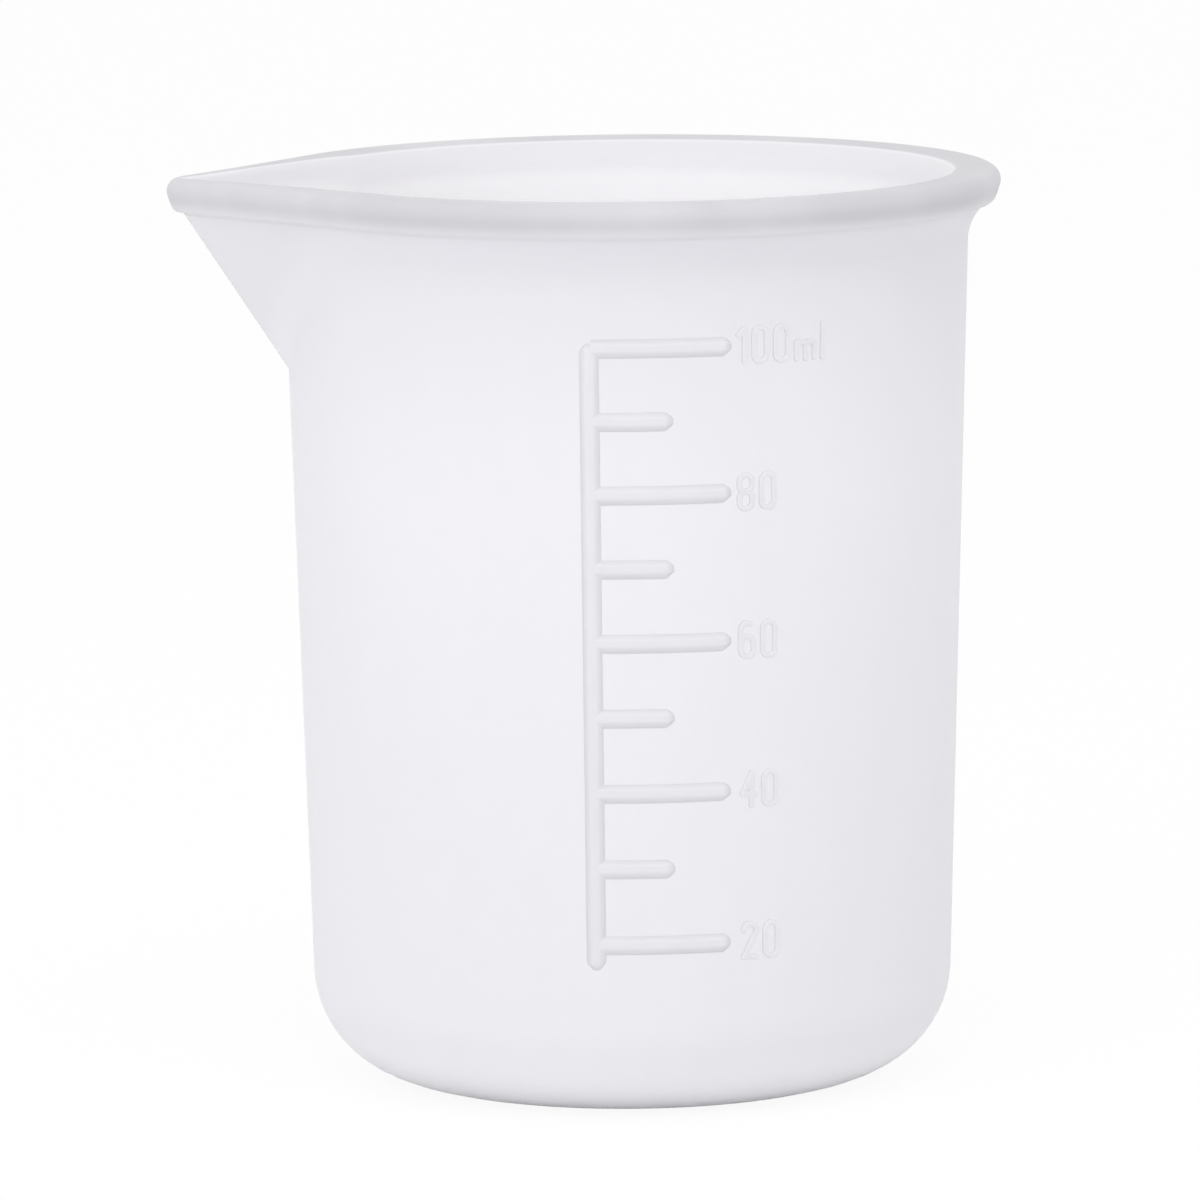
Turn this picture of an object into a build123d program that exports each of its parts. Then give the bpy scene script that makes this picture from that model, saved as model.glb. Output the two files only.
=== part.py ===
from build123d import *
import math
import os

os.makedirs("parts", exist_ok=True)

# A soft silicone mixing cup with a pouring spout and a raised millilitre scale.
# Millimetres, +Z up, origin at the centre of the base on the cup's own axis.
# The spout points along -X and the scale faces -Y. Angles are in degrees.

# Volumes on the scale: one litre fills a cube with this edge
litre_edge = 100.0
millilitres_per_litre = 1000
full_mark_ml = 100
lowest_mark_ml = 20
mark_step_ml = 10
numbered_step_ml = 20

# Inside of the cup
floor_thickness = 1.5
bore_radius = 23.05
bore_corner_radius = 6.8
bore_draft_angle = 0.95
mouth_round_radius = 2.2

# Outside of the cup
wall_at_floor = 1.7
wall_draft_angle = 1.6
base_corner_radius = 8.4

# Lip round the rim, and the cove that leads up into it
full_mark_to_rim = 11.0
lip_height = 2.65
lip_overhang = 2.85
lip_face_angle = 18.0
lip_top_round = 1.0
lip_bottom_round = 0.45
cove_height = 2.6

# Pouring spout, with the channel inside it
spout_reach = 34.4
spout_tip_radius = 1.9
spout_lean_angle = 33.0
spout_span_angle = 27.0
spout_lip_overhang = 1.6
spout_lip_tip_radius = 2.6
spout_lip_root_radius = 9.0
channel_wall = 2.1
channel_tip_radius = 0.9
channel_edge_round = 0.8

# Raised scale: a spine, and bars that start at it
relief = 0.45
scale_angle = -13.7
spine_width = 1.1
spine_tail = 2.1
bar_thickness = 1.1
short_bar_length = 5.6
long_bar_length = 10.0

# Raised figures beside the long bars
label_gap = 0.55
digit_height = 3.0
digit_width = 1.45
digit_gap = 0.32
one_width = 0.95
letter_m_width = 2.0
stroke_width = 0.42
two_turn_angle = 35.0
six_hook_angle = 60.0

# How far a cutting shape runs past what it cuts
overrun = 1.0


def slope(angle):
    return math.tan(math.radians(angle))


def wall_radius(height):
    """Outside radius of the tapered wall."""
    return bore_radius + wall_at_floor + slope(wall_draft_angle) * (height - floor_thickness)


def inside_radius(height):
    return bore_radius + slope(bore_draft_angle) * (height - floor_thickness)


def fill_height(millilitres):
    """Height above the base of the surface of this much liquid in the cup."""
    volume = millilitres * litre_edge**3 / millilitres_per_litre
    # The rounded floor corner takes this ring away from a sharp-cornered inside
    corner_area = bore_corner_radius**2 * (1 - math.pi / 4)
    corner_centroid = bore_corner_radius * (10 - 3 * math.pi) / (12 - 3 * math.pi)
    sharp_volume = volume + 2 * math.pi * (bore_radius - corner_centroid) * corner_area
    draft = slope(bore_draft_angle)
    surface_radius = (bore_radius**3 + 3 * draft * sharp_volume / math.pi) ** (1 / 3)
    return floor_thickness + (surface_radius - bore_radius) / draft


def wrap_angle(length, height):
    """Angle that a length takes up on the wall at a height."""
    return math.degrees(length / wall_radius(height))


marks = range(lowest_mark_ml, full_mark_ml + 1, mark_step_ml)
full_height = fill_height(full_mark_ml)
rim_height = full_height + full_mark_to_rim
lip_low = rim_height - lip_height
lip_radius = wall_radius(lip_low) + lip_overhang
lip_foot_radius = lip_radius - lip_height * slope(lip_face_angle)
cove_low = lip_low - cove_height

spine_half_angle = wrap_angle(spine_width, full_height) / 2
spine_edge_angle = scale_angle + spine_half_angle

# Centre lines of a figure's strokes run between these, left to right and top to bottom
figure_side = (digit_width - stroke_width) / 2
figure_top = (digit_height - stroke_width) / 2


def turned(profile):
    """A solid turned round the cup's axis from its half section."""
    return revolve(Plane.XZ * profile, Axis.Z)


def floor_corner(profile):
    """The outer corner at the foot of a half section."""
    return profile.vertices().sort_by(Axis.Y)[:2].sort_by(Axis.X)[-1]


def outer_form():
    """The tapered wall on its rounded base, with the cove up to the lip."""
    foot = (wall_radius(0), 0)
    wall = Line(foot, (wall_radius(cove_low), cove_low))
    cove_radius = lip_foot_radius - lip_bottom_round
    cove = TangentArc(wall @ 1, (cove_radius, lip_low), tangent=wall % 1)
    inside_lip = lip_low + lip_bottom_round
    rest = Polyline(cove @ 1, (cove_radius, inside_lip), (0, inside_lip), (0, 0), foot)
    profile = make_face(Curve() + [wall, cove, rest])
    return turned(fillet(floor_corner(profile), base_corner_radius))


def bore():
    """The space inside the cup: a tapered well with a rounded floor and a flared mouth."""
    foot = (bore_radius, floor_thickness)
    flare_low = rim_height - mouth_round_radius
    mouth_radius = inside_radius(flare_low) + mouth_round_radius
    well = Line(foot, (inside_radius(flare_low), flare_low))
    flare = TangentArc(well @ 1, (mouth_radius, rim_height), tangent=well % 1)
    above = rim_height + overrun
    rest = Polyline(flare @ 1, (mouth_radius, above), (0, above), (0, floor_thickness), foot)
    profile = make_face(Curve() + [well, flare, rest])
    return turned(fillet(floor_corner(profile), bore_corner_radius))


def spout_plan(reach, tip_radius, root_radius):
    """Plan of the spout: a round tip, with straight sides back to a chord of the cup."""
    tip = Pos(X=tip_radius - reach) * Circle(tip_radius)
    chord_x = -root_radius * math.cos(math.radians(spout_span_angle))
    chord_y = root_radius * math.sin(math.radians(spout_span_angle))
    return make_hull([*tip.edges(), Line((chord_x, -chord_y), (chord_x, chord_y)).edge()])


def leaning_prism(plan, height, depth):
    """A plan at a height, carried down and inwards along the spout's leaning ridge."""
    ridge = Vector(slope(spout_lean_angle), 0, -1)
    return extrude(Pos(Z=height) * plan, amount=depth * ridge.length, dir=ridge.normalized())


def spout():
    plan = spout_plan(spout_reach, spout_tip_radius, wall_radius(lip_low))
    depth = (spout_reach - wall_radius(cove_low)) / slope(spout_lean_angle) + cove_height
    return leaning_prism(plan, lip_low + lip_bottom_round, depth)


def channel():
    """The space inside the spout, open at the rim and dying out in the bore."""
    reach = spout_reach + lip_height * slope(spout_lean_angle) - channel_wall
    plan = spout_plan(reach, channel_tip_radius, inside_radius(lip_low))
    depth = (reach - inside_radius(cove_low)) / slope(spout_lean_angle) + cove_height
    return leaning_prism(plan, rim_height + overrun, depth)


def lip():
    """The flange round the rim and the spout, its outer face drawn in towards its foot."""
    pour_reach = spout_reach + spout_lip_overhang
    plan = Circle(lip_radius) + spout_plan(pour_reach, spout_lip_tip_radius, lip_radius)
    roots = plan.vertices().group_by(Axis.X)[-1]
    plan = fillet(roots, spout_lip_root_radius)
    band = extrude(Pos(Z=rim_height) * plan, amount=-lip_height, taper=lip_face_angle)
    band = fillet(band.edges().group_by(Axis.Z)[-1], lip_top_round)
    return fillet(band.edges().group_by(Axis.Z)[0], lip_bottom_round)


def cup_body():
    cup = outer_form() + spout() + lip() - channel() - bore()
    channel_edges = cup.edges().filter_by(GeomType.LINE).group_by(Axis.Z)[-1]
    return fillet(channel_edges, channel_edge_round)


def wall_band(low, high, start_angle, end_angle):
    """A raised band that stands on the tapered wall between two heights and two angles."""
    profile = Polyline(
        (wall_radius(low), low),
        (wall_radius(low) + relief, low),
        (wall_radius(high) + relief, high),
        (wall_radius(high), high),
        close=True,
    )
    face = Rot(Z=start_angle - 90) * (Plane.XZ * make_face(profile))
    return revolve(face, Axis.Z, revolution_arc=end_angle - start_angle)


def scale_spine():
    low = fill_height(lowest_mark_ml) - spine_tail
    high = full_height + bar_thickness / 2
    return wall_band(low, high, scale_angle - spine_half_angle, spine_edge_angle)


def is_numbered(mark):
    return mark % numbered_step_ml == 0


def bar_end_angle(mark):
    length = long_bar_length if is_numbered(mark) else short_bar_length
    return spine_edge_angle + wrap_angle(length, fill_height(mark))


def scale_bar(mark):
    low = fill_height(mark) - bar_thickness / 2
    return wall_band(low, low + bar_thickness, spine_edge_angle, bar_end_angle(mark))


def stroked(path):
    """A line or an arc drawn with a round-ended stroke."""
    ends = [Pos(point.X, point.Y) * Circle(stroke_width / 2) for point in (path @ 0, path @ 1)]
    return trace(path, stroke_width) + ends


def stroked_line(start, end):
    return stroked(Line(start, end))


def loop(low, high):
    """A closed loop as wide as a digit, between two heights of its centre line."""
    outside = SlotOverall(high - low + stroke_width, digit_width, rotation=90)
    inside = SlotOverall(high - low - stroke_width, digit_width - 2 * stroke_width, rotation=90)
    return Pos(Y=(low + high) / 2) * (outside - inside)


def figure_zero():
    return loop(-figure_top, figure_top)


def figure_one():
    flag = one_width - stroke_width
    head = (flag / 2, figure_top)
    return (stroked_line((flag / 2, -figure_top), head)
            + stroked_line(head, (-flag / 2, figure_top - flag)))


def figure_two():
    bowl = CenterArc((0, figure_top - figure_side), figure_side,
                     -two_turn_angle, 180 + two_turn_angle)
    heel = (-figure_side, -figure_top)
    return (stroked(bowl) + stroked_line(bowl @ 0, heel)
            + stroked_line(heel, (figure_side, -figure_top)))


def figure_four():
    stem = figure_side / 2
    crossbar = (figure_side - figure_top) / 2
    return (stroked_line((stem, -figure_top), (stem, figure_top))
            + stroked_line((stem, figure_top), (-figure_side, crossbar))
            + stroked_line((-figure_side, crossbar), (figure_side, crossbar)))


def figure_six():
    shoulder = figure_top - figure_side
    hook = CenterArc((0, shoulder), figure_side, six_hook_angle, 180 - six_hook_angle)
    return (loop(-figure_top, figure_side / 2) + stroked(hook)
            + stroked_line((-figure_side, 0), (-figure_side, shoulder)))


def figure_eight():
    return loop(-figure_top, 0) + loop(0, figure_top)


def letter_m():
    outer_leg = (letter_m_width - stroke_width) / 2
    arch = outer_leg / 2
    strokes = [stroked_line((x, -figure_top), (x, -arch)) for x in (-outer_leg, 0, outer_leg)]
    strokes += [stroked(CenterArc((x, -arch), arch, 0, 180)) for x in (-arch, arch)]
    return Sketch() + strokes + stroked_line((-outer_leg, -arch), (-outer_leg, 0))


def letter_l():
    return stroked_line((0, -figure_top), (0, figure_top))


FIGURES = {
    "0": (figure_zero, digit_width),
    "1": (figure_one, one_width),
    "2": (figure_two, digit_width),
    "4": (figure_four, digit_width),
    "6": (figure_six, digit_width),
    "8": (figure_eight, digit_width),
    "m": (letter_m, letter_m_width),
    "l": (letter_l, stroke_width),
}


def raised_figure(character, angle, height):
    """A figure standing on the wall, centred at an angle and a height."""
    draw, _ = FIGURES[character]
    skin = wall_band(height - digit_height, height + digit_height, 0, 360)
    clear = relief + overrun
    front = Plane((0, -wall_radius(height) - clear, height), x_dir=(1, 0, 0), z_dir=(0, -1, 0))
    return skin & (Rot(Z=angle) * extrude(front * draw(), amount=-2 * clear))


def scale_label(mark):
    """The figures after a long bar, level with it."""
    height = fill_height(mark)
    text = f"{mark}ml" if mark == full_mark_ml else f"{mark}"
    left = label_gap
    raised = []
    for character in text:
        _, width = FIGURES[character]
        angle = bar_end_angle(mark) + wrap_angle(left + width / 2, height)
        raised.append(raised_figure(character, angle, height))
        left += width + digit_gap
    return Compound(children=raised)


pieces = {"cup_body": cup_body(), "scale_spine": scale_spine()}
for mark in marks:
    pieces[f"bar_{mark}_ml"] = scale_bar(mark)
    if is_numbered(mark):
        pieces[f"label_{mark}_ml"] = scale_label(mark)

for name, piece in pieces.items():
    export_step(piece, f"parts/{name}.step")

print("Rim height", round(rim_height, 2))
print("Mark heights", {mark: round(fill_height(mark), 2) for mark in marks})
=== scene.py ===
import math
from collections import namedtuple

import bmesh
import bpy
from mathutils import Matrix, Vector


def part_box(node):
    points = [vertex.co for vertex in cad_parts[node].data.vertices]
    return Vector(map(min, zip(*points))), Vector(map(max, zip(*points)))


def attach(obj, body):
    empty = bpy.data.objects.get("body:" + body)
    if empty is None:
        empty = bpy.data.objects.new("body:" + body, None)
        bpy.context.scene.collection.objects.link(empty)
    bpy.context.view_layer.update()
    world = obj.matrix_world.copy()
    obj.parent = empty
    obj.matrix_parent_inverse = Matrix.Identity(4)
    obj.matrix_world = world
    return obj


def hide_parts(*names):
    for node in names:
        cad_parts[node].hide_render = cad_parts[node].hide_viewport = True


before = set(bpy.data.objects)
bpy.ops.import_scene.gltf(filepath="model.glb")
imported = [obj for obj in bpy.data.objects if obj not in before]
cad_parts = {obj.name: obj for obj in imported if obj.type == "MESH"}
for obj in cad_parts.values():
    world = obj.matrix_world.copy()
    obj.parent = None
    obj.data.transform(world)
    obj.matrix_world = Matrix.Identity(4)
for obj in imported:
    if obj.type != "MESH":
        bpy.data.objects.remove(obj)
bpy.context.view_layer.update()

# A soft silicone mixing cup with a pouring spout and a raised millilitre scale.
# Metres, +Z up, origin at the centre of the base on the cup's own axis.
# The spout points along -X and the scale faces -Y.

bl_info = {
    "name": "Silicone Mixing Cup",
    "version": (1, 0, 0),
    "blender": (4, 5, 0),
    "location": "3D View > Sidebar > Mixing Cup",
    "description": "Models a silicone mixing cup with a raised scale, and a studio for it",
    "category": "Add Mesh",
}

MM = 0.001
HAIR = 0.005 * MM

CUP_LOW, CUP_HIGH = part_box("cup_body")
SPINE_LOW, SPINE_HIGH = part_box("scale_spine")
MARKS = range(20, 101, 10)
NUMBERED_STEP = 20

# Into how many steps each stretch of a shape is divided
BASE_CORNER_STEPS = 14
WALL_STEPS = 12
SPOUT_WALL_STEPS = 20
COVE_STEPS = 8
LIP_FOOT_STEPS = 6
LIP_TOP_STEPS = 12
MOUTH_STEPS = 12
CHANNEL_STEPS = 24
BORE_STEPS = 10
BORE_CORNER_STEPS = 12
DISC_STEPS = 5
DOME_STEPS = 20
BAR_STEPS = 18
FADE_STEPS = 6

# The widest spread that a flare can be given, and the bend that still looks smooth
WIDEST_FLARE = 4
SMOOTH_BEND = math.radians(50)

# Heights, and radii for the spout, between which one tone of the silicone fades into the next;
# the tones on the base and inside are painted light, and those high on the wall, on the lip, in
# the mouth and on the spout are painted shade
BASE_FADE = (1.0 * MM, 6.0 * MM)
PAINTED_SHADE_FADE = (46.0 * MM, 66.0 * MM)
LIP_FADE = (67.2 * MM, 69.2 * MM)
MOUTH_FADE = (67.4 * MM, 70.7 * MM)
SPOUT_FADE = (26.9 * MM, 29.0 * MM)
WALL_FADE = 0.3 * MM

# Random patterns: how many to a metre, how each axis is stretched, and how detailed
Pattern = namedtuple("Pattern", "fineness stretch detail")
CLOUD = Pattern(55, (1, 1, 0.5), 3.0)
STREAK = Pattern(240, (1, 1, 0.06), 2.0)
MARK_CLOUD = Pattern(320, (1, 1, 1), 3.0)
GRAIN = Pattern(2600, (1, 1, 1), 2.0)
RIPPLE = Pattern(160, (1, 1, 1), 2.0)
FLOOR_FLECK = Pattern(400, (1, 1, 1), 2.0)
PATTERN_MIDDLE = 0.5

# How far the patterns and fades change the tone, the roughness and the surface; the shade tone
# is painted shade, and the spout's share brings denser silicone with painted shade
CLOUD_TONE = 0.35
STREAK_TONE = 0.12
PAINTED_SHADE_TONE = 0.5
EVEN_TONE = 0.15
SPOUT_DENSITY_AND_SHADE = 0.45
LIP_PATCH = 0.35
LIP_PATCH_FADE = (0.42, 0.66)
MARK_MOTTLE = 0.03
FLOOR_MOTTLE = 0.01
GRAIN_ROUGHNESS = 0.1
RIPPLE_ROUGHNESS = 0.12
GRAIN_RELIEF = 0.35
RIPPLE_RELIEF = 2.5

SILICONE_IOR = 1.41
WHITE = (1, 1, 1, 1)

# Lamps, their places in metres from the base, and the place that they light
Lamp = namedtuple("Lamp", "name place size watts")
LAMPS = (
    Lamp("key_softbox", (-0.466, -0.555, 0.368), 0.5, 1.0),
    Lamp("fill_softbox", (0.555, -0.466, 0.368), 0.5, 0.17),
    Lamp("top_softbox", (0.0, -0.3, 0.65), 0.3, 0.75),
)
LIT_PLACE = (0, 0, 0.035)
FLOOR_SIZE = 6
FLOOR_DROP = 0.02 * MM
FLOOR_ROUGHNESS = 0.9
SENSOR_WIDTH = 36
NEAREST_SEEN, FARTHEST_SEEN = 0.01, 100

# Sockets of a Mix node that is set to colours
MIX_FACTOR, MIX_FIRST, MIX_SECOND, MIX_RESULT = 0, 6, 7, 2


# ---------------------------------------------------------------- settings

def distance(name, description, metres):
    return bpy.props.FloatProperty(
        name=name, description=description, default=metres, min=0,
        precision=5, unit="LENGTH", subtype="DISTANCE")


def angle(name, description, degrees):
    return bpy.props.FloatProperty(
        name=name, description=description, default=math.radians(degrees),
        unit="ROTATION", subtype="ANGLE")


def share(name, description, default, largest=1.0):
    return bpy.props.FloatProperty(
        name=name, description=description, default=default, min=0, max=largest,
        subtype="FACTOR")


def count(name, description, default):
    return bpy.props.IntProperty(name=name, description=description, default=default, min=1)


def colour(name, description, default):
    return bpy.props.FloatVectorProperty(
        name=name, description=description, default=default, size=3, min=0, max=1,
        subtype="COLOR")


class CupSizes(bpy.types.PropertyGroup):
    """Sizes of the cup's body"""

    ring_points: count("Ring points", "Points round each ring of the cup", 320)
    base_radius: distance("Base radius", "Where the wall's line meets the base", 24.708 * MM)
    base_corner: distance("Base corner", "Round outer corner of the base", 8.4 * MM)
    wall_draft: angle("Wall draft", "Lean of the outside of the wall", 1.6)
    floor_height: distance("Floor height", "Thickness of the cup's floor", 1.5 * MM)
    bore_radius: distance("Bore radius", "Where the bore's line meets the floor", 23.05 * MM)
    bore_corner: distance("Bore corner", "Round inner corner of the floor", 6.8 * MM)
    bore_draft: angle("Bore draft", "Lean of the inside of the wall", 0.95)
    rim_height: distance("Rim height", "Top of the rim above the base", CUP_HIGH.z)
    rim_radius: distance("Rim radius", "Widest radius of the lip", CUP_HIGH.x)
    lip_height: distance("Lip height", "Rim down to the underside of the lip", 2.65 * MM)
    lip_lean: angle("Lip lean", "Lean of the lip's outer face", 18)
    lip_top_round: distance("Lip top round", "Radius of the lip's upper edge", 1.0 * MM)
    lip_foot_round: distance("Lip foot round", "Radius of the lip's lower edge", 0.75 * MM)
    lip_ledge: distance("Lip ledge", "Flat left under the lip beside the cove", 0.05 * MM)
    cove_height: distance("Cove height", "Height of the cove under the lip", 3.0 * MM)
    mouth_round: distance("Mouth round", "Flare at the top of the bore", 2.2 * MM)


class SpoutSizes(bpy.types.PropertyGroup):
    """Sizes of the pouring spout"""

    reach: distance("Spout reach", "Tip of the lip from the cup's axis", -CUP_LOW.x)
    lean: angle("Spout lean", "Lean of the spout's ridge from upright", 33)
    foot_height: distance("Spout foot", "Where the ridge leaves the wall", 55.57 * MM)
    channel_foot: distance("Channel foot", "Where the channel leaves the bore", 56.25 * MM)
    channel_round: distance("Channel round", "Rounding of the channel's edge", 0.6 * MM)
    tip_width: distance("Tip width", "Half width of the spout's round tip", 2.0 * MM)
    wall_flare: share("Wall flare", "Spread of the spout over its reach", 2.1, WIDEST_FLARE)
    lip_flare: share("Lip flare", "Spread of the lip over its reach", 2.36, WIDEST_FLARE)
    channel_flare: share("Channel flare", "Spread of the channel over its reach", 1.9,
                         WIDEST_FLARE)


class ScaleSizes(bpy.types.PropertyGroup):
    """Sizes of the raised scale"""

    relief: distance("Relief", "How far the marks stand out from the wall", 0.3 * MM)
    root: distance("Root", "How far the marks go into the wall", 0.3 * MM)
    seat: distance("Seat", "How far the feet of the flanks lie in the wall", 0.03 * MM)
    line_width: distance("Line width", "Width of the lines at half their relief", 1.15 * MM)
    flank: distance("Flank", "Width of the soft flank beside each line", 0.65 * MM)
    soft_end: distance("Soft end", "Length over which a line fades out", 0.8 * MM)
    spine_angle: angle("Spine angle", "Place of the spine round the cup", -13.7)
    bar_start: angle("Bar start", "Where the bars leave the spine", -13.4)
    short_bar_end: angle("Short bar end", "Where the short bars end", 0.4)
    long_bar_end: angle("Long bar end", "Where the long bars end", 10.15)
    figure_trim: distance("Figure trim", "Taken off the relief of the figures", 0.13 * MM)
    grain: distance("Figure grain", "Mesh size of the softened figures", 0.065 * MM)
    softening: count("Softening", "Passes that round the figures' edges", 9)


class Finish(bpy.types.PropertyGroup):
    """Colours and finish of the silicone, several of them painted light and shade"""

    wall_tint: colour("Wall tint", "Thin silicone of the wall", (0.79, 0.785, 0.825))
    # Painted light: the inside is made paler where light falls into the cup
    inside_painted_light_tint: colour("Inside tint", "Silicone of the lit inside", (0.98, 0.965, 0.999))
    # Painted shade on the dense lip
    lip_painted_shade_tint: colour("Lip tint", "Dense silicone of the lip", (0.585, 0.58, 0.608))
    # Painted shade on the top of the rim and in the mouth
    rim_painted_shade_tint: colour("Rim tint", "Silicone of the rim and the mouth", (0.74, 0.735, 0.762))
    # Painted shade on the dense spout; also the darker tone of the wall's clouds and of its
    # painted shade towards the lip
    spout_painted_shade_tint: colour("Spout tint", "Dense silicone of the spout", (0.705, 0.7, 0.73))
    # Painted light: the base is paler to lift the shade near the floor
    base_painted_light_tint: colour("Base tint", "Silicone of the rounded base", (0.88, 0.872, 0.915))
    # Painted shade: the raised marks are greyer for their thicker silicone
    mark_painted_shade_tint: colour("Mark tint", "Silicone of the raised scale", (0.765, 0.76, 0.792))
    roughness: share("Roughness", "Satin of the molded surface", 0.45)
    sheen: share("Sheen", "Strength of the surface's reflections", 0.1)
    milkiness: share("Milkiness", "Share of light that goes into the wall", 0.65)
    depth: distance("Light depth", "How far light spreads in the wall", 5.0 * MM)
    thick_milkiness: share("Thick milkiness", "The same, in dense silicone", 0.3)
    thick_depth: distance("Thick light depth", "The same, in dense silicone", 2.0 * MM)
    grain: distance("Grain", "Height of the fine molded grain", 0.004 * MM)


class StudioSettings(bpy.types.PropertyGroup):
    """Camera, floor and light"""

    camera_distance: distance("Camera distance", "From the cup's axis", 714 * MM)
    camera_turn: angle("Camera turn", "Round the cup from its front", -7.5)
    camera_rise: angle("Camera rise", "Above the level", 8.404)
    camera_roll: angle("Camera roll", "Tilt of the picture", -0.529)
    aim_height: distance("Aim height", "On the cup's axis", 34.68 * MM)
    aim_left: distance("Aim left", "Picture's middle, left of the axis", 2.29 * MM)
    aim_up: distance("Aim up", "Picture's middle, above the aim height", 2.22 * MM)
    lens: bpy.props.FloatProperty(
        name="Lens", description=f"Focal length in millimetres on a {SENSOR_WIDTH} mm sensor",
        default=274.47, min=1, unit="CAMERA")
    floor_tint: colour("Floor tint", "Pale studio floor", (0.94, 0.94, 0.94))
    room_light: share("Room light", "Light from all round", 0.86)
    floor_glow: share("Floor glow", "Share of plain white in the floor's look", 0.92)


class MixingCup(bpy.types.PropertyGroup):
    """All the settings of the mixing cup"""

    cup: bpy.props.PointerProperty(type=CupSizes)
    spout: bpy.props.PointerProperty(type=SpoutSizes)
    scale: bpy.props.PointerProperty(type=ScaleSizes)
    finish: bpy.props.PointerProperty(type=Finish)
    studio: bpy.props.PointerProperty(type=StudioSettings)


# ---------------------------------------------------------------- modelling

Ring = namedtuple("Ring", "radius height ridge flare")


def clear_selection():
    if bpy.context.object and bpy.context.object.mode != "OBJECT":
        bpy.ops.object.mode_set(mode="OBJECT")
    bpy.ops.object.select_all(action="DESELECT")


def edit(piece):
    """Open a piece for modelling, with all its points chosen."""
    bpy.context.view_layer.objects.active = piece
    piece.select_set(True)
    bpy.ops.object.mode_set(mode="EDIT")
    bpy.ops.mesh.select_mode(type="VERT")
    bpy.ops.mesh.select_all(action="SELECT")


def choose(piece, kind, test):
    """Select the shown points or edges that pass a test."""
    bpy.ops.mesh.select_mode(type=kind)
    bpy.ops.mesh.select_all(action="DESELECT")
    shape = bmesh.from_edit_mesh(piece.data)
    for part in shape.verts if kind == "VERT" else shape.edges:
        if not part.hide and test(part):
            part.select = True
    shape.select_flush_mode()
    bmesh.update_edit_mesh(piece.data)


def choose_points(piece, test):
    """Select the shown points whose place passes a test."""
    choose(piece, "VERT", lambda point: test(point.co))


def choose_edges(piece, test):
    """Select the shown edges whose both ends pass a test."""
    choose(piece, "EDGE", lambda line: all(test(point.co) for point in line.verts))


def close_up(piece):
    """Merge what touches, turn the faces outwards and leave edit mode."""
    bpy.ops.mesh.reveal(select=False)
    bpy.ops.mesh.select_all(action="SELECT")
    bpy.ops.mesh.remove_doubles(threshold=HAIR)
    bpy.ops.mesh.normals_make_consistent(inside=False)
    bpy.ops.object.mode_set(mode="OBJECT")


def keep_in_mesh():
    """Put the place, turn and size of the chosen piece into its mesh."""
    bpy.ops.object.transform_apply(location=True, rotation=True, scale=True)


def finished(piece, name, node, material):
    """Name a piece, give it its look, hang it on the root body and hide the node that it
    replaces.
    """
    piece.name = name
    piece.data.name = name
    piece.data.materials.clear()
    piece.data.materials.append(material)
    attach(piece, "root")
    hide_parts(node)


def from_axis(place):
    return math.hypot(place.x, place.y)


def arc(middle, radius, start, end, steps):
    """Points of a half section along an arc, by its angles from the level."""
    turns = [start + (end - start) * step / steps for step in range(steps + 1)]
    return [(middle[0] + radius * math.cos(turn), middle[1] + radius * math.sin(turn))
            for turn in turns]


def straight(start, end, steps):
    return [tuple(a + (b - a) * step / steps for a, b in zip(start, end))
            for step in range(steps + 1)]


def rounded_foot(radius, height, draft, corner, steps):
    """The round corner between a flat and a wall that leans outwards."""
    middle = (radius + corner * math.tan(draft) - corner / math.cos(draft), height + corner)
    return arc(middle, corner, -math.pi / 2, -draft, steps)


def flare_out(start, draft, end, steps):
    """The arc that leaves a leaning wall and ends further out and higher up."""
    across = (math.cos(draft), -math.sin(draft))
    run = (end[0] - start[0], end[1] - start[1])
    radius = (run[0] ** 2 + run[1] ** 2) / (2 * (run[0] * across[0] + run[1] * across[1]))
    middle = (start[0] + radius * across[0], start[1] + radius * across[1])
    last = math.atan2(end[1] - middle[1], end[0] - middle[0])
    return arc(middle, radius, math.pi - draft, last, steps)


def wall_radius(cup, height):
    return cup.base_radius + math.tan(cup.wall_draft) * height


def bore_radius(cup, height):
    return cup.bore_radius + math.tan(cup.bore_draft) * (height - cup.floor_height)


def ridge_radius(spout, foot, place):
    """How far out the leaning ridge is at a place: no further than the wall below its foot."""
    if place[1] <= foot[1]:
        return place[0]
    return max(place[0], foot[0] + (place[1] - foot[1]) * math.tan(spout.lean))


def lip_rounds(cup):
    """Middles of the two rounds of the lip: the lower and the upper one."""
    upper = (cup.rim_radius - cup.lip_top_round, cup.rim_height - cup.lip_top_round)
    low = cup.rim_height - cup.lip_height + cup.lip_foot_round
    gain = cup.lip_top_round - cup.lip_foot_round - (upper[1] - low) * math.sin(cup.lip_lean)
    return (upper[0] + gain / math.cos(cup.lip_lean), low), upper


def outside_rings(cup, spout):
    """Rings from the base up the outside to the underside of the lip."""
    lip_low = cup.rim_height - cup.lip_height
    cove_low = lip_low - cup.cove_height
    foot = (wall_radius(cup, spout.foot_height), spout.foot_height)
    cove_foot = (wall_radius(cup, cove_low), cove_low)
    lip_edge = (lip_rounds(cup)[0][0] - cup.lip_ledge, lip_low)
    corner = rounded_foot(
        cup.base_radius, 0, cup.wall_draft, cup.base_corner, BASE_CORNER_STEPS)
    below = straight(corner[-1], foot, WALL_STEPS)
    beside = straight(foot, cove_foot, SPOUT_WALL_STEPS)
    cove = flare_out(cove_foot, cup.wall_draft, lip_edge, COVE_STEPS)
    rings = [Ring(*place, ridge_radius(spout, foot, place), spout.wall_flare)
             for place in corner + below[1:] + beside[1:]]
    for place in cove[1:]:
        up = (place[1] - cove_low) / cup.cove_height
        flare = spout.wall_flare + up * (spout.lip_flare - spout.wall_flare)
        rings.append(Ring(*place, ridge_radius(spout, foot, place), flare))
    return rings


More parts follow.
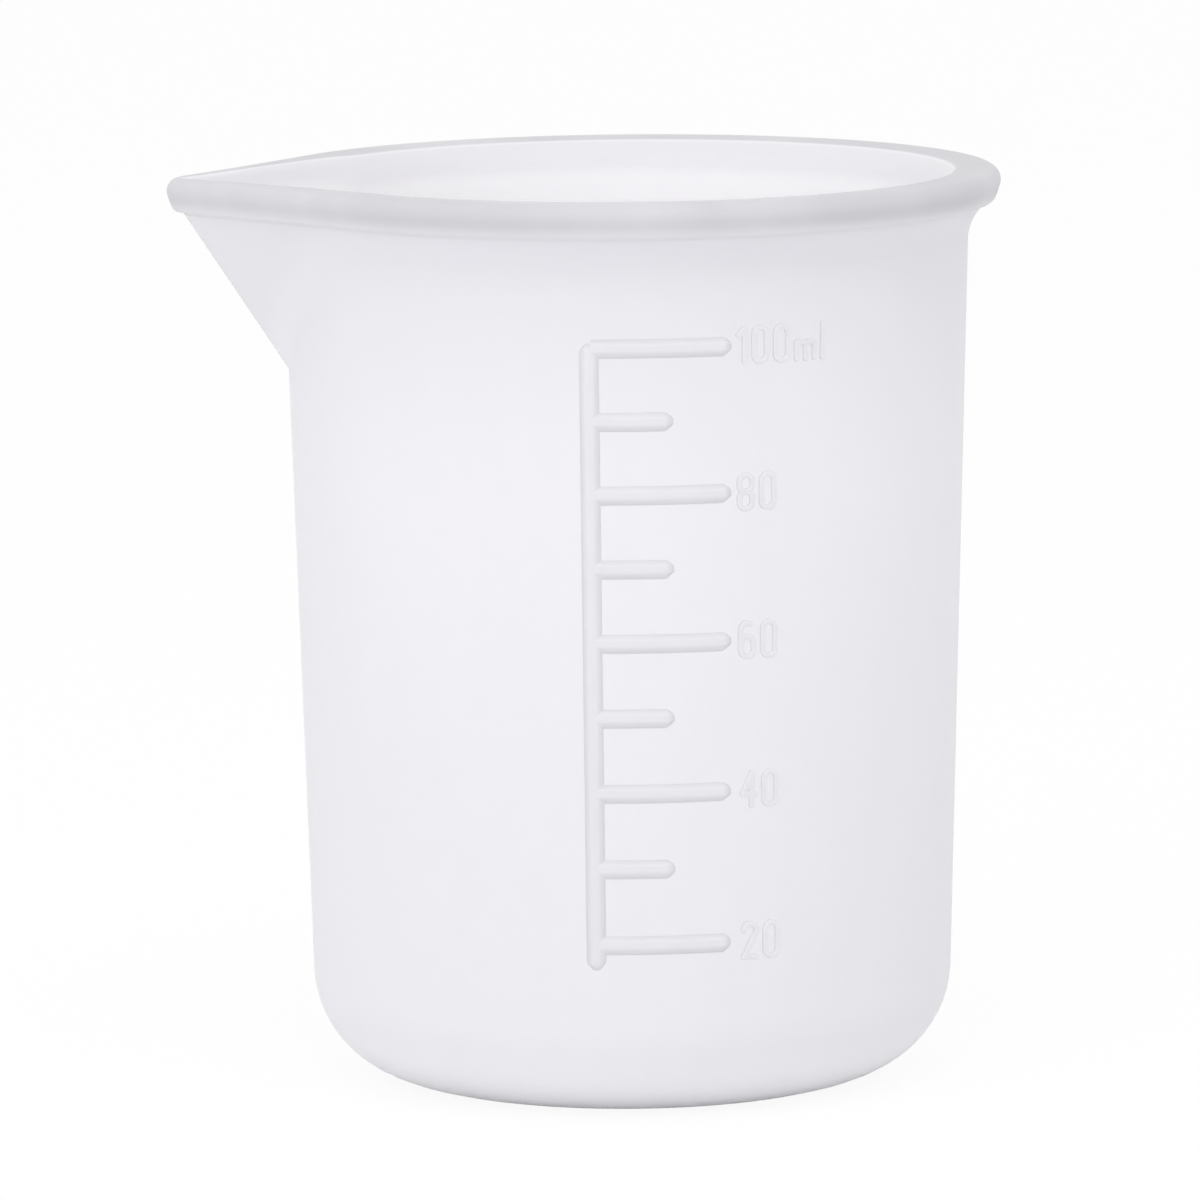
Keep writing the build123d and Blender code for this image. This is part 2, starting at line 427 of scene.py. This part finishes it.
def lip_rings(cup, spout):
    """Rings from the underside of the lip round its face to the top of the rim."""
    lower, upper = lip_rounds(cup)
    foot = arc(lower, cup.lip_foot_round, -math.pi / 2, -cup.lip_lean, LIP_FOOT_STEPS)
    top = arc(upper, cup.lip_top_round, -cup.lip_lean, math.pi / 2, LIP_TOP_STEPS)
    overreach = spout.reach - cup.rim_radius
    return [Ring(*place, place[0] + overreach, spout.lip_flare) for place in foot + top]


def inside_rings(cup, spout):
    """Rings from the rim down the flared mouth and the bore to the floor."""
    mouth_low = cup.rim_height - cup.mouth_round
    foot = (bore_radius(cup, spout.channel_foot), spout.channel_foot)
    mouth_foot = (bore_radius(cup, mouth_low), mouth_low)
    mouth_edge = (mouth_foot[0] + cup.mouth_round, cup.rim_height)
    mouth = flare_out(mouth_foot, cup.bore_draft, mouth_edge, MOUTH_STEPS)
    rings = []
    for place in reversed(mouth):
        up = 1 - (mouth_edge[0] - place[0]) / cup.mouth_round
        ridge = ridge_radius(spout, foot, place) + spout.channel_round * up ** 2
        rings.append(Ring(*place, ridge, spout.channel_flare))
    corner = rounded_foot(
        cup.bore_radius, cup.floor_height, cup.bore_draft, cup.bore_corner, BORE_CORNER_STEPS)
    beside = straight(mouth_foot, foot, CHANNEL_STEPS)
    below = straight(foot, corner[-1], BORE_STEPS)
    for place in beside[1:] + below[1:] + corner[-2::-1]:
        rings.append(Ring(*place, ridge_radius(spout, foot, place), spout.channel_flare))
    return rings


def raise_rings(rings):
    """Extrude the chosen ring through all the others, each at its height and radius."""
    for before, ring in zip(rings, rings[1:]):
        rise = (0, 0, ring.height - before.height)
        bpy.ops.mesh.extrude_region_move(TRANSFORM_OT_translate={"value": rise})
        widen = ring.radius / before.radius
        bpy.ops.transform.resize(value=(widen, widen, 1), center_override=(0, 0, ring.height))


def close_disc(ring):
    """Fill the chosen ring with narrower rings that meet in one point."""
    for step in range(DISC_STEPS, 1, -1):
        bpy.ops.mesh.extrude_region_move(TRANSFORM_OT_translate={"value": (0, 0, 0)})
        shrink = (step - 1) / step
        bpy.ops.transform.resize(value=(shrink, shrink, 1), center_override=(0, 0, ring.height))
    bpy.ops.mesh.extrude_region_move(TRANSFORM_OT_translate={"value": (0, 0, 0)})
    bpy.ops.mesh.merge(type="CENTER")


def pull(travel, falloff, spread):
    """Move the chosen points, with those round them in a soft curve."""
    bpy.ops.transform.translate(
        value=travel, use_proportional_edit=True, proportional_edit_falloff=falloff,
        proportional_size=spread, use_proportional_connected=False)


def draw_spout(piece, ring, tip_width):
    """Draw one ring out into the spout, then its point back into a round tip."""
    blunt = tip_width / ring.flare
    travel = ring.ridge - ring.radius + blunt
    choose_points(piece, lambda place: abs(place.z - ring.height) < HAIR
                  and abs(from_axis(place) - ring.radius) < HAIR)
    bpy.ops.mesh.hide(unselected=True)
    choose_points(piece, lambda place: place.x < 0 and abs(place.y) < HAIR)
    pull((-travel, 0, 0), "SHARP", travel * ring.flare)
    pull((blunt, 0, 0), "SHARP", tip_width * math.hypot(1, 2 / ring.flare))
    bpy.ops.mesh.reveal(select=False)


class MESH_OT_mixing_cup_body(bpy.types.Operator):
    """Model the cup's body: base, wall, lip, bore and pouring spout"""

    bl_idname = "mesh.mixing_cup_body"
    bl_label = "Cup Body"

    def execute(self, context):
        settings = context.scene.mixing_cup
        cup, spout = settings.cup, settings.spout
        rings = outside_rings(cup, spout) + lip_rings(cup, spout) + inside_rings(cup, spout)
        clear_selection()
        bpy.ops.mesh.primitive_circle_add(
            vertices=cup.ring_points, radius=rings[0].radius,
            location=(0, 0, rings[0].height))
        body = context.object
        edit(body)
        raise_rings(rings)
        close_disc(rings[-1])
        choose_points(body, lambda place: place.z < HAIR)
        close_disc(rings[0])
        for ring in rings:
            if ring.ridge - ring.radius > HAIR:
                draw_spout(body, ring, spout.tip_width)
        close_up(body)
        keep_in_mesh()
        bpy.ops.object.shade_smooth()
        finished(body, "molded_cup", "cup_body", cup_silicone(settings))
        return {"FINISHED"}


# ---------------------------------------------------------------- the scale

def finished_mark(mark, node, settings, name=None):
    """Finish a mark. It is as clear as the wall, so it casts no shadow on it."""
    finished(mark, name or f"raised_{node}", node, scale_silicone(settings))
    mark.visible_shadow = False
    mark.visible_diffuse = False


def turn_to(piece, turn):
    """Turn a piece round the cup's axis and keep its place in its mesh."""
    clear_selection()
    piece.select_set(True)
    bpy.context.view_layer.objects.active = piece
    piece.rotation_euler = (0, 0, turn)
    keep_in_mesh()


def line_section(scale, radius, height, upright):
    """A line's section at the front of the wall: a flat back and a softly domed face."""
    width = scale.line_width + scale.flank
    depth = scale.root - scale.seat
    front = -depth / 2
    crest = (scale.line_width - scale.flank) / 2
    clear_selection()
    bpy.ops.mesh.primitive_plane_add(size=1, location=(0, 0, 0))
    section = bpy.context.object
    edit(section)
    bpy.ops.transform.resize(value=(width, depth, 1), center_override=(0, 0, 0))
    choose_edges(section, lambda place: place.y < 0)
    bpy.ops.mesh.subdivide(number_cuts=DOME_STEPS - 1)
    choose_points(section, lambda place: abs(place.y - front) < HAIR
                  and abs(place.x) < crest + HAIR)
    pull((0, -(scale.relief + scale.seat), 0), "SMOOTH", scale.flank)
    bpy.ops.object.mode_set(mode="OBJECT")
    section.location = (0, -(radius - scale.seat + front), height)
    section.rotation_euler = (0, 0, 0) if upright else (0, math.pi / 2, 0)
    keep_in_mesh()
    return section


def fading_out(scale):
    """How far along a soft end each section lies, and how deep it has sunk."""
    fade = []
    for step in range(FADE_STEPS + 1):
        part = step / FADE_STEPS
        sunk = part * part * (3 - 2 * part)
        fade.append((part * scale.soft_end, sunk * (scale.relief + scale.seat)))
    return fade


def model_spine(cup, scale):
    """The upright line: a domed strip that leans with the wall and fades at both ends."""
    low, high = SPINE_LOW.z, SPINE_HIGH.z
    fade = fading_out(scale)
    stations = [(low + scale.soft_end - along, sunk) for along, sunk in reversed(fade)]
    stations += [(high - scale.soft_end + along, sunk) for along, sunk in fade]
    spine = line_section(scale, wall_radius(cup, low), low, True)
    edit(spine)
    bpy.ops.transform.translate(value=(0, stations[0][1], 0))
    for (height, sunk), (next_height, next_sunk) in zip(stations, stations[1:]):
        lean = wall_radius(cup, next_height) - wall_radius(cup, height)
        bpy.ops.mesh.extrude_region_move(TRANSFORM_OT_translate={
            "value": (0, next_sunk - sunk - lean, next_height - height)})
    close_up(spine)
    bpy.ops.object.shade_smooth_by_angle(angle=SMOOTH_BEND)
    turn_to(spine, scale.spine_angle)
    return spine


def bar_height(mark):
    low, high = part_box(f"bar_{mark}_ml")
    return (low.z + high.z) / 2


def sweep_round(turn, steps):
    """Sweep the chosen section round the cup's axis, towards the bars' free ends."""
    bpy.ops.mesh.spin(steps=steps, angle=-turn, center=(0, 0, 0), axis=(0, 0, 1))


def model_bar(cup, scale, height, end):
    """One bar: a domed section swept round the wall, that fades at its free end."""
    radius = wall_radius(cup, height)
    bar = line_section(scale, radius, height, False)
    edit(bar)
    sweep_round(end - scale.bar_start - scale.soft_end / radius, BAR_STEPS)
    fade = fading_out(scale)
    for (along, sunk), (next_along, next_sunk) in zip(fade, fade[1:]):
        sweep_round((next_along - along) / radius, 1)
        sink = (radius - next_sunk) / (radius - sunk)
        bpy.ops.transform.resize(value=(sink, sink, 1), center_override=(0, 0, height))
    close_up(bar)
    bpy.ops.object.shade_smooth_by_angle(angle=SMOOTH_BEND)
    turn_to(bar, scale.bar_start)
    return bar


def copied_to_height(cup, bar, first, height):
    """A copy of a bar with its own mesh, higher up the widening wall."""
    copy = bar.copy()
    copy.data = bar.data.copy()
    bpy.context.collection.objects.link(copy)
    clear_selection()
    widen = wall_radius(cup, height) / wall_radius(cup, first)
    edit(copy)
    bpy.ops.transform.translate(value=(0, 0, height - first))
    bpy.ops.transform.resize(value=(widen, widen, 1), center_override=(0, 0, height))
    bpy.ops.object.mode_set(mode="OBJECT")
    return copy


class MESH_OT_mixing_cup_spine(bpy.types.Operator):
    """Model the upright line of the scale"""

    bl_idname = "mesh.mixing_cup_spine"
    bl_label = "Scale Spine"

    def execute(self, context):
        settings = context.scene.mixing_cup
        spine = model_spine(settings.cup, settings.scale)
        finished_mark(spine, "scale_spine", settings, "raised_spine")
        return {"FINISHED"}


class MESH_OT_mixing_cup_bars(bpy.types.Operator):
    """Model one short and one long bar, and copy them to the other marks"""

    bl_idname = "mesh.mixing_cup_bars"
    bl_label = "Scale Bars"

    def execute(self, context):
        settings = context.scene.mixing_cup
        cup, scale = settings.cup, settings.scale
        long_marks = [mark for mark in MARKS if mark % NUMBERED_STEP == 0]
        short_marks = [mark for mark in MARKS if mark % NUMBERED_STEP]
        for marks, end in ((long_marks, scale.long_bar_end), (short_marks, scale.short_bar_end)):
            first = bar_height(marks[0])
            bars = [model_bar(cup, scale, first, end)]
            for mark in marks[1:]:
                bars.append(copied_to_height(cup, bars[0], first, bar_height(mark)))
            for mark, bar in zip(marks, bars):
                finished_mark(bar, f"bar_{mark}_ml", settings)
        return {"FINISHED"}


class MESH_OT_mixing_cup_labels(bpy.types.Operator):
    """Soften the raised figures of the scale and root them in the wall"""

    bl_idname = "mesh.mixing_cup_labels"
    bl_label = "Scale Labels"

    def execute(self, context):
        settings = context.scene.mixing_cup
        for mark in MARKS:
            if mark % NUMBERED_STEP == 0:
                self.soften(context, settings, f"label_{mark}_ml")
        return {"FINISHED"}

    def soften(self, context, settings, node):
        cup, scale = settings.cup, settings.scale

        def stands_out(place):
            return from_axis(place) > wall_radius(cup, place.z) + scale.relief / 2

        def sink_chosen(depth):
            inwards = 1 - depth / cup.base_radius
            bpy.ops.transform.resize(value=(inwards, inwards, 1), center_override=(0, 0, 0))

        label = bpy.data.objects.new(f"raised_{node}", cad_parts[node].data.copy())
        context.collection.objects.link(label)
        clear_selection()
        edit(label)
        bpy.ops.mesh.remove_doubles(threshold=HAIR)
        choose_points(label, lambda place: not stands_out(place))
        sink_chosen(scale.root)
        choose_points(label, stands_out)
        sink_chosen(scale.figure_trim)
        bpy.ops.object.mode_set(mode="OBJECT")
        remesh = label.modifiers.new("Even mesh", "REMESH")
        remesh.mode = "VOXEL"
        remesh.voxel_size = scale.grain
        remesh.use_smooth_shade = True
        bpy.ops.object.modifier_apply(modifier=remesh.name)
        smooth = label.modifiers.new("Soft edges", "SMOOTH")
        smooth.iterations = scale.softening
        bpy.ops.object.modifier_apply(modifier=smooth.name)
        finished_mark(label, node, settings)


# ---------------------------------------------------------------- materials

class Value:
    """A number that varies over a surface, to be used in sums and products."""

    def __init__(self, look, socket):
        self.look = look
        self.socket = socket

    def worked(self, operation, first, second):
        node = self.look.add("ShaderNodeMath", {0: first, 1: second}, operation=operation)
        return Value(self.look, node.outputs[0])

    def __add__(self, other):
        return self.worked("ADD", self, other)

    def __radd__(self, other):
        return self.worked("ADD", other, self)

    def __sub__(self, other):
        return self.worked("SUBTRACT", self, other)

    def __rsub__(self, other):
        return self.worked("SUBTRACT", other, self)

    def __mul__(self, other):
        return self.worked("MULTIPLY", self, other)

    def __rmul__(self, other):
        return self.worked("MULTIPLY", other, self)

    def __truediv__(self, other):
        return self.worked("DIVIDE", self, other)

    def __rtruediv__(self, other):
        return self.worked("DIVIDE", other, self)

    def __pow__(self, other):
        return self.worked("POWER", self, other)

    def larger(self, other):
        return self.worked("MAXIMUM", self, other)

    def is_under(self, other):
        """1 where this is smaller, and 0 elsewhere."""
        return self.worked("LESS_THAN", self, other)


class Look:
    """A material or a world, built node by node."""

    def __init__(self, owner):
        owner.use_nodes = True
        self.tree = owner.node_tree
        self.tree.nodes.clear()

    def add(self, kind, sockets=None, **settings):
        """A node of a kind, with its settings made and then its sockets filled or linked."""
        node = self.tree.nodes.new(kind)
        for name, value in settings.items():
            setattr(node, name, value)
        for name, value in (sockets or {}).items():
            if isinstance(value, Value):
                value = value.socket
            if isinstance(value, bpy.types.NodeSocket):
                self.tree.links.new(value, node.inputs[name])
            else:
                node.inputs[name].default_value = value
        return node

    def value(self, node, output=0):
        return Value(self, node.outputs[output])

    def place(self):
        return self.add("ShaderNodeTexCoord").outputs["Object"]

    def noise(self, place, pattern):
        mapped = self.add("ShaderNodeMapping", {"Vector": place, "Scale": pattern.stretch})
        node = self.add("ShaderNodeTexNoise", {
            "Vector": mapped.outputs[0], "Scale": pattern.fineness, "Detail": pattern.detail})
        return self.value(node, "Fac")

    def step(self, value, levels):
        """0 below one level and 1 above another, with a soft step between them."""
        low, high = levels
        node = self.add("ShaderNodeMapRange", {
            "Value": value, "From Min": low, "From Max": high}, interpolation_type="SMOOTHSTEP")
        return self.value(node)

    def blended(self, factor, first, second):
        node = self.add("ShaderNodeMix", {
            MIX_FACTOR: factor, MIX_FIRST: first, MIX_SECOND: second}, data_type="RGBA")
        return node.outputs[MIX_RESULT]

    def mottled(self, factor, tint, mottle):
        """A tint that a pattern makes a little darker and a little lighter."""
        return self.blended(factor, rgba(tint, 1 - mottle), rgba(tint, 1 + mottle))

    def mixed(self, factor, first, second):
        """The first shader where a factor is 0, and the second where it is 1."""
        return self.add("ShaderNodeMixShader", {
            0: factor, 1: first.outputs[0], 2: second.outputs[0]})

    def finish(self, shader, kind="ShaderNodeOutputMaterial"):
        self.add(kind, {"Surface": shader.outputs[0]})


def rgba(tint, brightness=1.0):
    return tuple(min(part * brightness, 1.0) for part in tint) + (1.0,)


def molded_skin(look, finish):
    """Roughness and normal of a molded surface: a fine grain on a faint ripple."""
    place = look.place()
    grain = look.noise(place, GRAIN)
    ripple = look.noise(place, RIPPLE)
    bump = look.add("ShaderNodeBump", {
        "Strength": 1.0, "Distance": finish.grain,
        "Height": grain * GRAIN_RELIEF + ripple * RIPPLE_RELIEF})
    rough = (finish.roughness + (grain - PATTERN_MIDDLE) * GRAIN_ROUGHNESS
             + (ripple - PATTERN_MIDDLE) * RIPPLE_ROUGHNESS)
    return rough, bump.outputs[0]


def silicone(look, finish, tint, skin, milkiness, depth):
    """Satin silicone that light goes into and spreads in."""
    rough, normal = skin
    return look.add("ShaderNodeBsdfPrincipled", {
        "Base Color": tint, "Roughness": rough, "Normal": normal, "IOR": SILICONE_IOR,
        "Specular IOR Level": finish.sheen,
        "Subsurface Weight": milkiness, "Subsurface Radius": (1.0, 1.0, 1.0),
        "Subsurface Scale": depth}, subsurface_method="RANDOM_WALK")


def drawn_out(spout, cup, along, across, height):
    """How far the middle of the wall is drawn out along the spout at a place."""
    foot = (spout.foot_height + spout.channel_foot) / 2
    flare = (spout.wall_flare + spout.channel_flare) / 2
    gain = math.tan(spout.lean) - math.tan(cup.wall_draft)
    travel = (height - foot).larger(0.0) * gain
    beside = (across ** 2.0) ** 0.5
    near = (1 - beside / (travel * flare + HAIR)).larger(0.0)
    return travel * near ** 2.0 * along.is_under(0.0)


def outside_of_wall(look, settings, along, across, radius, height):
    """1 on the outside of the cup and 0 on its inside, parted in the middle of the wall."""
    cup = settings.cup
    drawn = drawn_out(settings.spout, cup, along, across, height)
    lean = (math.tan(cup.wall_draft) + math.tan(cup.bore_draft)) / 2
    foot = (cup.base_radius + cup.bore_radius) / 2
    corner = (cup.base_corner + cup.bore_corner) / 2
    beyond = (radius - height * lean - drawn - foot + corner).larger(0.0)
    below = (cup.floor_height / 2 + corner - height).larger(0.0)
    return look.step((beyond ** 2.0 + below ** 2.0) ** 0.5,
                     (corner - WALL_FADE, corner + WALL_FADE))


def wall_tone(look, finish, place, cloud, height):
    """Tint of the outside of the wall: clouds and streaks, painted shade that greys it towards
    the lip, and painted light that pales the base.
    """
    streak = look.noise(place, STREAK)
    # Painted shade: the wall darkens towards the lip, where the lip and its cove shade it
    painted_shade = look.step(height, PAINTED_SHADE_FADE) * PAINTED_SHADE_TONE
    mottle = ((cloud - PATTERN_MIDDLE) * CLOUD_TONE
              + (streak - PATTERN_MIDDLE) * STREAK_TONE + painted_shade)
    wall = look.blended(mottle + EVEN_TONE, rgba(finish.wall_tint), rgba(finish.spout_painted_shade_tint))
    # Painted light: the base is paled to lift the shade near the floor
    base = 1 - look.step(height, BASE_FADE)
    return look.blended(base, wall, rgba(finish.base_painted_light_tint))


def cup_silicone(settings):
    """Milky silicone: clear in the thin wall, denser in the lip and the spout, with painted
    shade high on the wall, on the lip, the rim, the mouth and the spout, and painted light
    inside and on the base.
    """
    finish = settings.finish
    material = bpy.data.materials.new("molded_cup_silicone")
    look = Look(material)
    place = look.place()
    parts = look.add("ShaderNodeSeparateXYZ", {0: place})
    along, across, height = (look.value(parts, axis) for axis in "XYZ")
    radius = (along ** 2.0 + across ** 2.0) ** 0.5
    outside = outside_of_wall(look, settings, along, across, radius, height)
    # Painted shade on the lip, with its denser silicone
    lip = look.step(height, LIP_FADE) * outside
    # Painted shade at the top of the inside, towards the rim
    mouth = look.step(height, MOUTH_FADE) * (1 - outside)
    # Denser silicone with painted shade on the spout
    spout = look.step(radius, SPOUT_FADE) * outside * SPOUT_DENSITY_AND_SHADE
    cloud = look.noise(place, CLOUD)
    wall = wall_tone(look, finish, place, cloud, height)
    # Painted light on the inside of the cup
    thin = look.blended(outside, rgba(finish.inside_painted_light_tint), wall)
    patches = look.step(cloud, LIP_PATCH_FADE) * LIP_PATCH
    # Painted shade on the lip, with random paler patches
    lip_with_painted_shade = look.blended(patches, rgba(finish.lip_painted_shade_tint), rgba(finish.rim_painted_shade_tint))
    thick_with_painted_shade = look.blended(lip, rgba(finish.spout_painted_shade_tint), lip_with_painted_shade)
    thick_with_painted_shade = look.blended(mouth, thick_with_painted_shade, rgba(finish.rim_painted_shade_tint))
    skin = molded_skin(look, finish)
    clear = silicone(look, finish, thin, skin, finish.milkiness, finish.depth)
    dense = silicone(look, finish, thick_with_painted_shade, skin, finish.thick_milkiness, finish.thick_depth)
    look.finish(look.mixed(lip.larger(mouth).larger(spout), clear, dense))
    return material


def scale_silicone(settings):
    """The silicone of the raised scale, greyer than the wall with painted shade for its thicker
    silicone.
    """
    material = bpy.data.materials.get("raised_mark_silicone")
    if material:
        return material
    finish = settings.finish
    material = bpy.data.materials.new("raised_mark_silicone")
    look = Look(material)
    # Painted shade: the marks' tint is greyer than the wall
    tint = look.mottled(look.noise(look.place(), MARK_CLOUD), finish.mark_painted_shade_tint, MARK_MOTTLE)
    look.finish(silicone(look, finish, tint, molded_skin(look, finish),
                         finish.thick_milkiness, finish.thick_depth))
    return material


# ---------------------------------------------------------------- studio

def seen_directly(look):
    """1 for what the camera, a reflection or clear material shows, and 0 for lighting."""
    path = look.add("ShaderNodeLightPath")
    camera = look.value(path, "Is Camera Ray")
    glossy = look.value(path, "Is Glossy Ray")
    clear = look.value(path, "Is Transmission Ray")
    return camera.larger(glossy).larger(clear)


def light_room(world, room_light):
    """Even light from all round, seen as plain white."""
    look = Look(world)
    light = look.add("ShaderNodeBackground", {"Color": WHITE, "Strength": room_light})
    white = look.add("ShaderNodeBackground", {"Color": WHITE, "Strength": 1.0})
    look.finish(look.mixed(seen_directly(look), light, white), "ShaderNodeOutputWorld")


def studio_floor(studio):
    """A pale floor that looks white and keeps the cup's shadow."""
    clear_selection()
    bpy.ops.mesh.primitive_plane_add(size=FLOOR_SIZE, location=(0, 0, -FLOOR_DROP))
    floor = bpy.context.object
    floor.name = "studio_floor"
    keep_in_mesh()
    material = bpy.data.materials.new("studio_floor")
    look = Look(material)
    tint = look.mottled(look.noise(look.place(), FLOOR_FLECK), studio.floor_tint, FLOOR_MOTTLE)
    matt = look.add("ShaderNodeBsdfPrincipled", {
        "Base Color": tint, "Roughness": FLOOR_ROUGHNESS, "Specular IOR Level": 0.0})
    white = look.add("ShaderNodeEmission", {"Color": WHITE, "Strength": 1.0})
    look.finish(look.mixed(seen_directly(look) * studio.floor_glow, matt, white))
    floor.data.materials.append(material)


def softbox(lamp):
    """A square soft lamp, turned to what it lights."""
    clear_selection()
    bpy.ops.object.light_add(type="AREA", location=lamp.place)
    box = bpy.context.object
    box.name = lamp.name
    box.data.shape = "SQUARE"
    box.data.size = lamp.size
    box.data.energy = lamp.watts
    facing = Vector(LIT_PLACE) - Vector(lamp.place)
    box.rotation_euler = facing.to_track_quat("-Z", "Y").to_euler()


def photo_camera(studio):
    """The camera at the photograph's distance, height and turn."""
    turn, rise, roll = studio.camera_turn, studio.camera_rise, studio.camera_roll
    across = Vector((math.cos(turn), math.sin(turn), 0))
    back = Vector((math.sin(turn) * math.cos(rise), -math.cos(turn) * math.cos(rise),
                   math.sin(rise)))
    up = back.cross(across)
    across, up = (across * math.cos(roll) + up * math.sin(roll),
                  up * math.cos(roll) - across * math.sin(roll))
    aim = Vector((0, 0, studio.aim_height))
    place = aim + back * studio.camera_distance
    target = aim - across * studio.aim_left + up * studio.aim_up
    back = (place - target).normalized()
    across = (across - back * across.dot(back)).normalized()
    up = back.cross(across)
    clear_selection()
    bpy.ops.object.camera_add(location=place)
    camera = bpy.context.object
    camera.rotation_euler = Matrix((across, up, back)).transposed().to_euler()
    camera.data.sensor_width = SENSOR_WIDTH
    camera.data.lens = studio.lens
    camera.data.clip_start = NEAREST_SEEN
    camera.data.clip_end = FARTHEST_SEEN
    bpy.context.scene.camera = camera


class MESH_OT_mixing_cup_studio(bpy.types.Operator):
    """Set up the floor, the soft lamps, the room light and the camera"""

    bl_idname = "mesh.mixing_cup_studio"
    bl_label = "Studio"

    def execute(self, context):
        studio = context.scene.mixing_cup.studio
        context.scene.view_settings.view_transform = "Standard"
        context.scene.world = bpy.data.worlds.new("studio_room")
        light_room(context.scene.world, studio.room_light)
        studio_floor(studio)
        for lamp in LAMPS:
            softbox(lamp)
        photo_camera(studio)
        return {"FINISHED"}


class VIEW3D_PT_mixing_cup(bpy.types.Panel):
    """The steps that make the mixing cup, in order"""

    bl_idname = "VIEW3D_PT_mixing_cup"
    bl_label = "Mixing Cup"
    bl_space_type = "VIEW_3D"
    bl_region_type = "UI"
    bl_category = "Mixing Cup"

    def draw(self, context):
        for step in STEPS:
            self.layout.operator(step.bl_idname)


STEPS = (
    MESH_OT_mixing_cup_body,
    MESH_OT_mixing_cup_spine,
    MESH_OT_mixing_cup_bars,
    MESH_OT_mixing_cup_labels,
    MESH_OT_mixing_cup_studio,
)
SETTINGS = (CupSizes, SpoutSizes, ScaleSizes, Finish, StudioSettings, MixingCup)
CLASSES = SETTINGS + STEPS + (VIEW3D_PT_mixing_cup,)


def register():
    for part in CLASSES:
        bpy.utils.register_class(part)
    bpy.types.Scene.mixing_cup = bpy.props.PointerProperty(type=MixingCup)


def unregister():
    del bpy.types.Scene.mixing_cup
    for part in reversed(CLASSES):
        bpy.utils.unregister_class(part)


def main():
    register()
    bpy.ops.mesh.mixing_cup_body()
    bpy.ops.mesh.mixing_cup_spine()
    bpy.ops.mesh.mixing_cup_bars()
    bpy.ops.mesh.mixing_cup_labels()
    bpy.ops.mesh.mixing_cup_studio()


if __name__ == "__main__":
    main()
